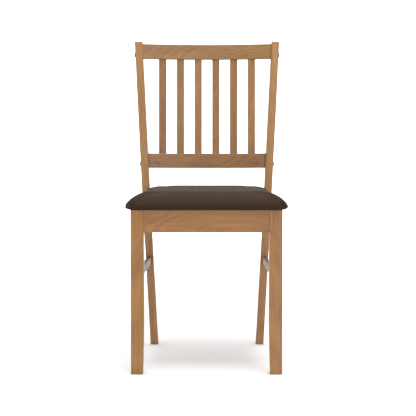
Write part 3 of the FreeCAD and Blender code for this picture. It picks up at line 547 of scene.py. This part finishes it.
@dataclass
class SeatFrame:
    """Legs, aprons, stretchers and corner blocks, with their screws."""

    oaks: dict[str, LacqueredOak] = field(
        default_factory=lambda: {
            "left_front_leg": LacqueredOak("oak_left_leg", "#A4753E", "#855A2E", heart=(2, 60, 0), slant=5),
            "right_front_leg": LacqueredOak(
                "oak_right_leg", "#A17543", "#855B35", heart=(-6, 70, 0), slant=-5
            ),
            "front_apron": LacqueredOak(
                "oak_front_apron", "#A07340", "#81532F", Grain.ACROSS, heart=(-20, 26, -34), slant=20
            ),
            "rear_apron": LacqueredOak(
                "oak_rear_apron", "#A17545", "#835535", Grain.ACROSS, heart=(40, -30, 22), slant=-16
            ),
            "left_side_apron": LacqueredOak(
                "oak_left_apron", "#A47745", "#855734", Grain.FRONT_TO_BACK, heart=(30, 0, 30), slant=12
            ),
            "right_side_apron": LacqueredOak(
                "oak_right_apron", "#A37544", "#865833", Grain.FRONT_TO_BACK, heart=(-34, 0, 26), slant=-14
            ),
            # The stretchers' oak is darker than the rest: painted shade, for where they sit low under the seat
            "left_stretcher": LacqueredOak(
                "oak_left_stretcher_painted_shade",
                "#82613F",
                "#68492D",
                Grain.FRONT_TO_BACK,
                heart=(18, 0, 30),
                slant=4,
                gloss=0.3,
            ),
            "right_stretcher": LacqueredOak(
                "oak_right_stretcher_painted_shade",
                "#876544",
                "#6C4D31",
                Grain.FRONT_TO_BACK,
                heart=(-20, 0, 26),
                slant=-4,
                gloss=0.3,
            ),
        }
    )

    def build(self, nodes: dict[str, bpy.types.Object]) -> None:
        """Dress every piece of the frame under the seat.

        Args:
            nodes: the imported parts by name.
        """
        for name, oak in self.oaks.items():
            dress(nodes[name], oak.build(middle_of(name)))
            LOG.info("dressed %s", name)
        for side in ("left", "right"):
            for end in ("front", "rear"):
                name = f"{side}_{end}_corner_block"
                wood = BareWood(f"beech_block_sawn_{side}_{end}", "#D2B48C", "#B08F66", Grain.ACROSS)
                dress(nodes[name], wood.build(middle_of(name)))
        screws = YELLOW_ZINCED.build()
        dress(nodes["corner_block_screws"], screws)
        dress(nodes["seat_screws"], screws)
        LOG.info("dressed corner blocks and screws")


@dataclass
class Back:
    """Rear posts, crest rail, lower rail and slats, with the fixings that hold the rails."""

    oaks: dict[str, LacqueredOak] = field(
        default_factory=lambda: {
            "left_rear_post": LacqueredOak(
                "oak_left_post", "#AB8252", "#8B5F35", heart=(14, 40, 0), slant=3, joint_height=0.83
            ),
            "right_rear_post": LacqueredOak(
                "oak_right_post", "#AC814F", "#8A5F38", heart=(-16, 44, 0), slant=-3
            ),
            "crest_rail": LacqueredOak(
                "oak_crest", "#9F784B", "#7D572F", Grain.ACROSS, heart=(30, 40, -30), slant=17
            ),
            "lower_back_rail": LacqueredOak(
                "oak_lower_rail", "#A67C4E", "#855D3E", Grain.ACROSS, heart=(-30, 36, 34), slant=-15
            ),
            "back_slat_1": LacqueredOak("oak_slat_1", "#96693C", "#744327", heart=(9, 50, 0), slant=4),
            "back_slat_2": LacqueredOak("oak_slat_2", "#9B7244", "#7E5A37", heart=(-7, 44, 0), slant=-5),
            "back_slat_3": LacqueredOak("oak_slat_3", "#A3774D", "#865F30", heart=(6, 42, 0), slant=5),
            "back_slat_4": LacqueredOak("oak_slat_4", "#A0794B", "#815635", heart=(-8, 38, 0), slant=6),
            "back_slat_5": LacqueredOak("oak_slat_5", "#9B7045", "#7F5731", heart=(8, 52, 0), slant=-4),
            "back_slat_6": LacqueredOak("oak_slat_6", "#A87E51", "#87613B", heart=(-9, 46, 0), slant=5),
        }
    )

    def build(self, nodes: dict[str, bpy.types.Object]) -> None:
        """Dress every piece of the back.

        Args:
            nodes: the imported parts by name.
        """
        for name, oak in self.oaks.items():
            dress(nodes[name], oak.build(middle_of(name)))
            LOG.info("dressed %s", name)
        dress(nodes["back_rail_bolts"], BRONZED.build())
        dress(nodes["back_rail_barrel_nuts"], ZINCED.build())
        dowels = BareWood("beech_dowel_turned", "#D8BE96", "#B99C70", Grain.ACROSS)
        dress(nodes["back_rail_dowels"], dowels.build(middle_of("back_rail_dowels")))
        LOG.info("dressed the back's fixings")


@dataclass
class SeatPad:
    """The slip seat: foam on a plywood board, wrapped in leather that is turned under and stapled.

    Sizes are in millimetres, and shares, powers, counts and stiffnesses are plain numbers. The plan is a
    trapezium whose rear corners are notched round the posts.
    """

    front_half: float = 218.4
    rear_half: float = 198.5
    notch_half: float = 169.2
    notch_run: float = 29.0
    front_radius: float = 34.0
    rear_radius: float = 10.0
    low_roll: float = 9.5
    shoulder: float = 54.0
    rear_shoulder: float = 34.0
    notch_shoulder: float = 47.0
    shoulder_power: float = 0.6
    crown: float = 2.5
    hem: float = 1.3
    reach: float = 8.0
    drop: float = 2.0
    gap: float = 0.2
    rim_points: int = 14
    side_points: int = 24
    voxel: float = 5.0
    pressure: float = 4.0
    frames: int = 20
    cap: float = 4.0
    inward_radii: tuple[float, float] = (4.0, 8.0)
    least_radius: float = 0.5
    roll_rings: int = 7
    shoulder_rings: int = 26
    middle_rings: int = 16
    held_share: float = 0.6
    stretch_stiffness: float = 40.0
    bending_stiffness: float = 6.0
    board_overlap: float = 0.6
    sheet_points: int = 97
    sheet_thickness: float = 0.3
    sheet_clearance: float = 0.25
    sheet_taper: float = 0.8
    sheet_sag: float = 1.6
    pucker_depth: float = 0.18

    def outline(self, insets: np.ndarray, front: float, back: float) -> np.ndarray:
        """Work out the plan's outline at several insets.

        Each side of the plan moves inwards by its inset, a corner stays where its two sides meet, and an arc
        that is tangent to both sides rounds it. The arc shrinks with the inset on an outward corner and grows
        on an inward one.

        Args:
            insets: how far each ring lies inside the outline, in millimetres.
            front: the front edge's place in millimetres.
            back: the rear edge's place in millimetres.

        Returns:
            An array of rings, points and two coordinates, anticlockwise from above.
        """
        notch = back - self.notch_run
        corners = np.array(
            [
                (self.front_half, front),
                (self.rear_half, notch),
                (self.notch_half, notch),
                (self.notch_half, back),
                (-self.notch_half, back),
                (-self.notch_half, notch),
                (-self.rear_half, notch),
                (-self.front_half, front),
            ]
        )
        # The inset of the rear edge shrinks, because the pad's rear shoulder is narrower
        rear, notched = self.rear_shoulder / self.shoulder, self.notch_shoulder / self.shoulder
        shares = np.array([1.0, notched, notched, rear, notched, notched, 1.0, 1.0])
        half_radii = [self.front_radius, self.rear_radius, *self.inward_radii]
        radii = np.array(half_radii + half_radii[::-1])
        along = np.roll(corners, -1, axis=0) - corners
        along /= np.linalg.norm(along, axis=1)[:, None]
        outward = np.stack([along[:, 1], -along[:, 0]], axis=1)
        before = np.roll(outward, 1, axis=0)
        pairs = np.stack([before, outward], axis=1)
        moves = np.linalg.solve(pairs, -np.stack([np.roll(shares, 1), shares], axis=1)[..., None])[..., 0]
        inwards = np.linalg.solve(pairs, -np.ones((len(corners), 2, 1)))[..., 0]
        signs = np.sign(before[:, 0] * outward[:, 1] - before[:, 1] * outward[:, 0])
        start = np.arctan2(before[:, 1], before[:, 0])
        turn = np.arctan2(
            before[:, 0] * outward[:, 1] - before[:, 1] * outward[:, 0], (before * outward).sum(axis=1)
        )
        share = np.linspace(0, 1, self.rim_points)
        angles = start[:, None] + turn[:, None] * share
        unit = np.stack([np.cos(angles), np.sin(angles)], axis=-1)
        radius = np.maximum(radii[None] - signs[None] * insets[:, None], self.least_radius)
        at = corners[None] + insets[:, None, None] * moves[None]
        centre = at + signs[None, :, None] * inwards[None] * radius[..., None]
        arcs = centre[:, :, None] + (signs[None] * radius)[..., None, None] * unit[None]
        step = np.linspace(0, 1, self.side_points)[1:-1]
        following = np.roll(arcs[:, :, 0], -1, axis=1)
        sides = arcs[:, :, -1, None] + (following - arcs[:, :, -1])[:, :, None] * step[None, None, :, None]
        return np.concatenate([arcs, sides], axis=2).reshape(len(insets), -1, 2)

    def closed_form(self, low: float, high: float, front: float, back: float) -> bpy.types.Object:
        """Build the pad as rings carried up its profile.

        The profile starts in the middle of the underside, runs out to a quarter circle at the lower edge, and
        then rises with the share (1 - (1 - inset / shoulder) squared) to a small power, which is steep at the
        side and almost flat at the top. From the shoulder inwards the rings shrink to the middle and rise
        by a parabola to the crown.

        Args:
            low: the underside's height in millimetres.
            high: the height at the shoulder.
            front: the front edge's place.
            back: the rear edge's place.

        Returns:
            The closed mesh.
        """
        quarter = np.linspace(0, math.pi / 2, self.roll_rings)
        roll_insets = self.low_roll * (1 - np.sin(quarter))
        roll_heights = low + self.low_roll * (1 - np.cos(quarter))
        rise = np.linspace(0, 1, self.shoulder_rings)[1:] ** 2
        insets = self.shoulder * rise
        widest = low + self.low_roll
        heights = widest + (high - widest) * (1 - (1 - rise) ** 2) ** self.shoulder_power
        rings = self.outline(np.concatenate([roll_insets, insets]), front, back)
        levels = np.concatenate([roll_heights, heights])
        centre = np.array([0.0, (front + back) / 2])
        shrink = np.linspace(1, 0, self.middle_rings)[1:]
        under = centre + (rings[0] - centre)[None] * shrink[::-1, None, None]
        over = centre + (rings[-1] - centre)[None] * shrink[:, None, None]
        places = np.concatenate([under, rings, over])
        tall = np.concatenate([np.full(len(shrink), low), levels, high + self.crown * (1 - shrink**2)])
        upright = np.broadcast_to(tall[:, None, None], (*places.shape[:2], 1))
        points = np.concatenate([places, upright], axis=2)
        faces = grid_faces(points.shape[0], points.shape[1], closed=True)
        return mesh_object("seat_leather_cover", points * MM, faces)

    def inflate(self, pad: bpy.types.Object) -> None:
        """Let the foam's pressure fill the leather by cloth simulation, then limit how far it moved.

        Args:
            pad: the remeshed pad. Its underside and lower edge are pinned, as the staples hold them.
        """
        before = mesh_points(pad.data)
        low = before[:, 2].min()
        held = pad.vertex_groups.new(name="stapled")
        pinned = np.nonzero(before[:, 2] < low + self.held_share * self.low_roll * MM)[0]
        held.add(pinned.tolist(), 1.0, "REPLACE")
        cloth = pad.modifiers.new("leather", "CLOTH")
        settings = cloth.settings
        settings.vertex_group_mass = held.name
        settings.use_pressure = True
        settings.uniform_pressure_force = self.pressure
        settings.effector_weights.gravity = 0
        settings.tension_stiffness = self.stretch_stiffness
        settings.compression_stiffness = self.stretch_stiffness
        settings.bending_stiffness = self.bending_stiffness
        cloth.point_cache.frame_start = 1
        cloth.point_cache.frame_end = self.frames
        scene = bpy.context.scene
        for step in range(1, self.frames + 1):
            scene.frame_set(step)
        solved = pad.evaluated_get(bpy.context.evaluated_depsgraph_get())
        after = mesh_points(solved.data)
        scene.frame_set(1)
        pad.modifiers.remove(cloth)
        pad.vertex_groups.clear()
        move = after - before
        length = np.linalg.norm(move, axis=1, keepdims=True)
        limit = self.cap * MM
        # A soft limit: short moves stay as they are and long ones level off at the cap
        limited = move * limit * np.tanh(length / limit) / np.maximum(length, 1e-9)
        set_mesh_points(pad.data, before + limited)
        LOG.info("the leather moved by up to %.1f mm before the limit", float(length.max()) / MM)

    def crease(self, pad: bpy.types.Object) -> None:
        """Gather the leather at the front corners, where it is pulled down and under.

        Each fold is a ripple across the corner: the sine of the angle round the corner, strongest near the
        lower edge and gone a little over half way up. Each corner's folds have their own pitch and depth.

        Args:
            pad: the pad.
        """
        points = mesh_points(pad.data)
        low, high = points[:, 2].min(), points[:, 2].max()
        for side, folds, depth in ((-1, 10.0, 1.8), (1, 8.5, 2.9)):
            corner = np.array([side * (self.front_half - self.front_radius), points[:, 1].min() / MM]) * MM
            corner[1] += self.front_radius * MM
            away = points[:, :2] - corner
            angle = np.arctan2(away[:, 0] * side, -away[:, 1])
            inside = np.clip(1 - np.abs(angle - math.pi / 4) / (math.pi / 3.2), 0, 1) ** 0.7
            reach = np.linalg.norm(away, axis=1)
            height = (points[:, 2] - low) / (high - low)
            # A bell round a fifth of the way up, which leaves the corner's own centre still
            strength = inside * np.exp(-(((height - 0.22) / 0.26) ** 2)) * (reach > 8 * MM)
            ripple = np.sin(angle * folds + height * 2.5) + 0.4 * np.sin(angle * folds * 1.9 + 1)
            push = depth * MM * strength * ripple
            points[:, :2] += away / np.maximum(reach, 1e-6)[:, None] * push[:, None]
        set_mesh_points(pad.data, points)

    def cover(self) -> bpy.types.Object:
        """Make the leather-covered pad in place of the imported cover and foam.

        Returns:
            The finished piece.
        """
        low, high = (np.array(corner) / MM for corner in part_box("seat_cover"))
        pad = self.closed_form(low[2] + self.gap, high[2] - self.drop, low[1], high[1])
        remesh = pad.modifiers.new("even", "REMESH")
        remesh.mode = "VOXEL"
        remesh.voxel_size = self.voxel * MM
        remesh.use_smooth_shade = True
        self.apply_modifiers(pad)
        self.inflate(pad)
        smooth = pad.modifiers.new("settle", "SMOOTH")
        smooth.factor = 0.4
        smooth.iterations = 2
        finer = pad.modifiers.new("finer", "SUBSURF")
        finer.levels = finer.render_levels = 1
        self.apply_modifiers(pad)
        self.fit(pad, low * MM, high * MM)
        self.wrap_board(pad)
        self.crease(pad)
        dress(pad, CoatedLeather().build())
        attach(pad, BODY)
        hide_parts("seat_cover", "seat_foam")
        LOG.info("made the leather-covered pad with %d faces", len(pad.data.polygons))
        return pad

    def fit(self, pad: bpy.types.Object, low: np.ndarray, high: np.ndarray) -> None:
        """Bring the pad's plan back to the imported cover's and set its underside down on the frame.

        Settling draws the pad in by a few millimetres. Across and front to back, its points are spread evenly
        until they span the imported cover's box, and upwards between the frame and the top that it has.

        Args:
            pad: the pad.
            low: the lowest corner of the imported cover's box in metres.
            high: its highest corner.
        """
        points = mesh_points(pad.data)
        least, most = points.min(axis=0), points.max(axis=0)
        share = (points - least) / (most - least)
        start = low + np.array([0, 0, self.gap * MM])
        end = np.array([high[0], high[1], most[2]])
        set_mesh_points(pad.data, start + share * (end - start))

    def wrap_board(self, pad: bpy.types.Object) -> None:
        """Draw the leather tight round the board's rear edges, which lie just inside it.

        Between the underside and the board's top, a point within reach of a rear edge moves out to stand
        clear of the board: backwards behind the tongue and the two wings, and sideways beside the tongue.

        Args:
            pad: the pad.
        """
        low, high = (np.array(corner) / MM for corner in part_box("seat_board"))
        points = mesh_points(pad.data) / MM
        across, depth, height = np.abs(points[:, 0]), points[:, 1], points[:, 2]
        beside, behind = self.notch_half - self.hem, high[1] + self.hem
        wing_end = high[1] + self.hem - self.notch_run
        level = (height > low[2] - self.board_overlap) & (height < high[2] + 1)
        tongue = level & (across < self.notch_half + 1) & (depth > behind - self.reach)
        flank = level & (depth > wing_end + 3) & (across > beside - self.reach)
        wing = level & (across > self.notch_half + 1) & (depth > wing_end - self.reach)
        points[tongue, 1] = np.maximum(depth[tongue], behind)
        points[wing, 1] = np.maximum(depth[wing], wing_end)
        points[flank, 0] = np.sign(points[flank, 0]) * np.maximum(across[flank], beside)
        set_mesh_points(pad.data, points * MM)

    def apply_modifiers(self, piece: bpy.types.Object) -> None:
        """Replace a piece's mesh by its mesh after its modifiers.

        Args:
            piece: the piece, whose modifiers are then gone.
        """
        graph = bpy.context.evaluated_depsgraph_get()
        finished = bpy.data.meshes.new_from_object(piece.evaluated_get(graph))
        piece.modifiers.clear()
        old = piece.data
        name = old.name
        piece.data = finished
        bpy.data.meshes.remove(old)
        finished.name = name
        finished.polygons.foreach_set("use_smooth", np.ones(len(finished.polygons), dtype=bool))

    def dust_cover(self) -> bpy.types.Object:
        """Make the fabric under the seat: a flat sheet that puckers up between its staples.

        Its height dips by a cosine of the distance along each edge, fading inwards, and sags a little in the
        middle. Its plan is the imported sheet's trapezium.

        Returns:
            The finished piece.
        """
        low, high = (np.array(corner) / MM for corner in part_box("seat_dust_cover"))
        ratio = (self.front_half - self.rear_half) / (high[1] - low[1] + self.notch_run)
        count = self.sheet_points
        across, deep = np.meshgrid(np.linspace(-1, 1, count), np.linspace(0, 1, count))
        run = deep * (high[1] - low[1])
        half = high[0] - self.sheet_taper * ratio * run
        level = high[2] - self.sheet_clearance
        edge = np.minimum(1 - np.abs(across), np.minimum(deep, 1 - deep) * 2)
        waves = self.pucker_depth * np.cos(across * 7 * math.pi) * np.cos(deep * 8 * math.pi)
        pucker = waves * np.exp(-edge * 9)
        sag = -self.sheet_sag * np.sin(deep * math.pi) * np.cos(across * math.pi / 2)
        points = np.stack([across * half, low[1] + run, level + pucker + sag], axis=-1)
        faces = grid_faces(count, count, closed=False)[:, ::-1]
        sheet = mesh_object("seat_dust_sheet", points * MM, faces)
        thick = sheet.modifiers.new("cloth", "SOLIDIFY")
        thick.thickness = self.sheet_thickness * MM
        thick.offset = 0
        self.apply_modifiers(sheet)
        dress(sheet, NonWoven().build())
        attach(sheet, BODY)
        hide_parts("seat_dust_cover")
        LOG.info("made the dust cover")
        return sheet

    def build(self, nodes: dict[str, bpy.types.Object]) -> None:
        """Make the soft pieces and dress the board and staples.

        Args:
            nodes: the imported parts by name.
        """
        self.cover()
        self.dust_cover()
        board = BareWood("birch_plywood_sanded", "#D9C197", "#B59A70", Grain.ACROSS, layers=1.4)
        dress(nodes["seat_board"], board.build(middle_of("seat_board")))
        dress(nodes["cover_staples"], GALVANISED.build())


@dataclass
class Studio:
    """A pale floor, soft lights and a camera in front of the chair. Lengths are in metres."""

    floor_size: float = 40.0
    sweep_away: float = 3.5
    sweep_radius: float = 2.5
    focal: float = 102.3
    eye_height: float = 0.644
    eye_side: float = 0.0107
    eye_away: float = 3.125
    pitch: float = 3.626
    yaw: float = 0.123
    surroundings: float = 0.55
    glow_start: float = 0.9
    glow_strength: float = 1.05
    aim: tuple[float, float, float] = (0.0, 0.0, 0.45)

    def sweep(self) -> None:
        """Lay the floor and carry it up behind the chair in one curved white sheet.

        Its profile is level, then a quarter circle, then upright. It is lit from behind by an amount that
        rises smoothly from nothing near the chair to full white at the foot of the curve.
        """
        half, away, radius = self.floor_size / 2, self.sweep_away, self.sweep_radius
        quarter = np.linspace(0, math.pi / 2, 25)
        curve = np.stack([away + radius * np.sin(quarter), radius * (1 - np.cos(quarter))], axis=1)
        profile = np.concatenate([[(-half, 0.0)], curve, [(away + radius, half)]])
        across = np.array([-half, half])
        points = np.empty((len(profile), 2, 3))
        points[:, :, 0] = across
        points[:, :, 1:] = profile[:, None]
        sheet = mesh_object("studio_sweep", points, grid_faces(len(profile), 2, closed=False))
        material, tree, shader = new_material("painted_sweep_matt")
        spot = add_node(tree, "TexCoord").outputs["Object"]
        depth = add_node(tree, "SeparateXYZ", {"Vector": spot}).outputs["Y"]
        limits = {"Value": depth, "From Min": self.glow_start, "From Max": away}
        limits |= {"To Min": 0.0, "To Max": self.glow_strength}
        glow = add_node(tree, "MapRange", limits, interpolation_type="SMOOTHSTEP").outputs["Result"]
        tree.links.new(glow, shader.inputs["Emission Strength"])
        shader.inputs["Emission Color"].default_value = (1, 1, 1, 1)
        shader.inputs["Base Color"].default_value = linear("#F7F7F7")
        shader.inputs["Roughness"].default_value = 0.9
        shader.inputs["Specular IOR Level"].default_value = 0.1
        dress(sheet, material)

    def light(self, name: str, power: float, size: float, place: tuple[float, float, float]) -> None:
        """Hang a square soft light, aimed at the seat.

        Args:
            name: the light's name.
            power: its power in watts.
            size: the length of its side.
            place: where its middle is.
        """
        lamp = bpy.data.lights.new(name, "AREA")
        lamp.energy = power
        lamp.size = size
        holder = bpy.data.objects.new(name, lamp)
        holder.location = place
        towards = Vector(self.aim) - Vector(place)
        holder.rotation_euler = towards.to_track_quat("-Z", "Y").to_euler()
        bpy.context.scene.collection.objects.link(holder)

    def camera(self) -> None:
        """Set up the camera, level with the back and almost square to the front."""
        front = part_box("left_front_leg")[0][1]
        lens = bpy.data.cameras.new("studio_camera")
        lens.sensor_width = 36.0
        lens.lens = self.focal
        holder = bpy.data.objects.new("studio_camera", lens)
        holder.location = (self.eye_side, front - self.eye_away, self.eye_height)
        holder.rotation_euler = (math.radians(90 - self.pitch), 0, math.radians(self.yaw))
        bpy.context.scene.collection.objects.link(holder)
        bpy.context.scene.camera = holder

    def build(self) -> None:
        """Set up the floor, the surroundings, the lights and the camera."""
        self.sweep()
        world = bpy.data.worlds.new("studio")
        world.use_nodes = True
        world.node_tree.nodes["Background"].inputs["Color"].default_value = (1, 1, 1, 1)
        world.node_tree.nodes["Background"].inputs["Strength"].default_value = self.surroundings
        bpy.context.scene.world = world
        bpy.context.scene.view_settings.view_transform = "Standard"
        self.light("overhead", 110.0, 2.4, (0.2, -0.9, 4.0))
        self.light("front_right", 45.0, 2.0, (2.0, -4.6, 2.0))
        self.camera()


def main() -> None:
    """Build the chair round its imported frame."""
    logging.basicConfig(level=logging.INFO, format="%(message)s")
    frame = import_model()
    Studio().build()
    for assembly in (SeatFrame(), Back(), SeatPad()):
        assembly.build(frame["nodes"])


if __name__ == "__main__":
    main()
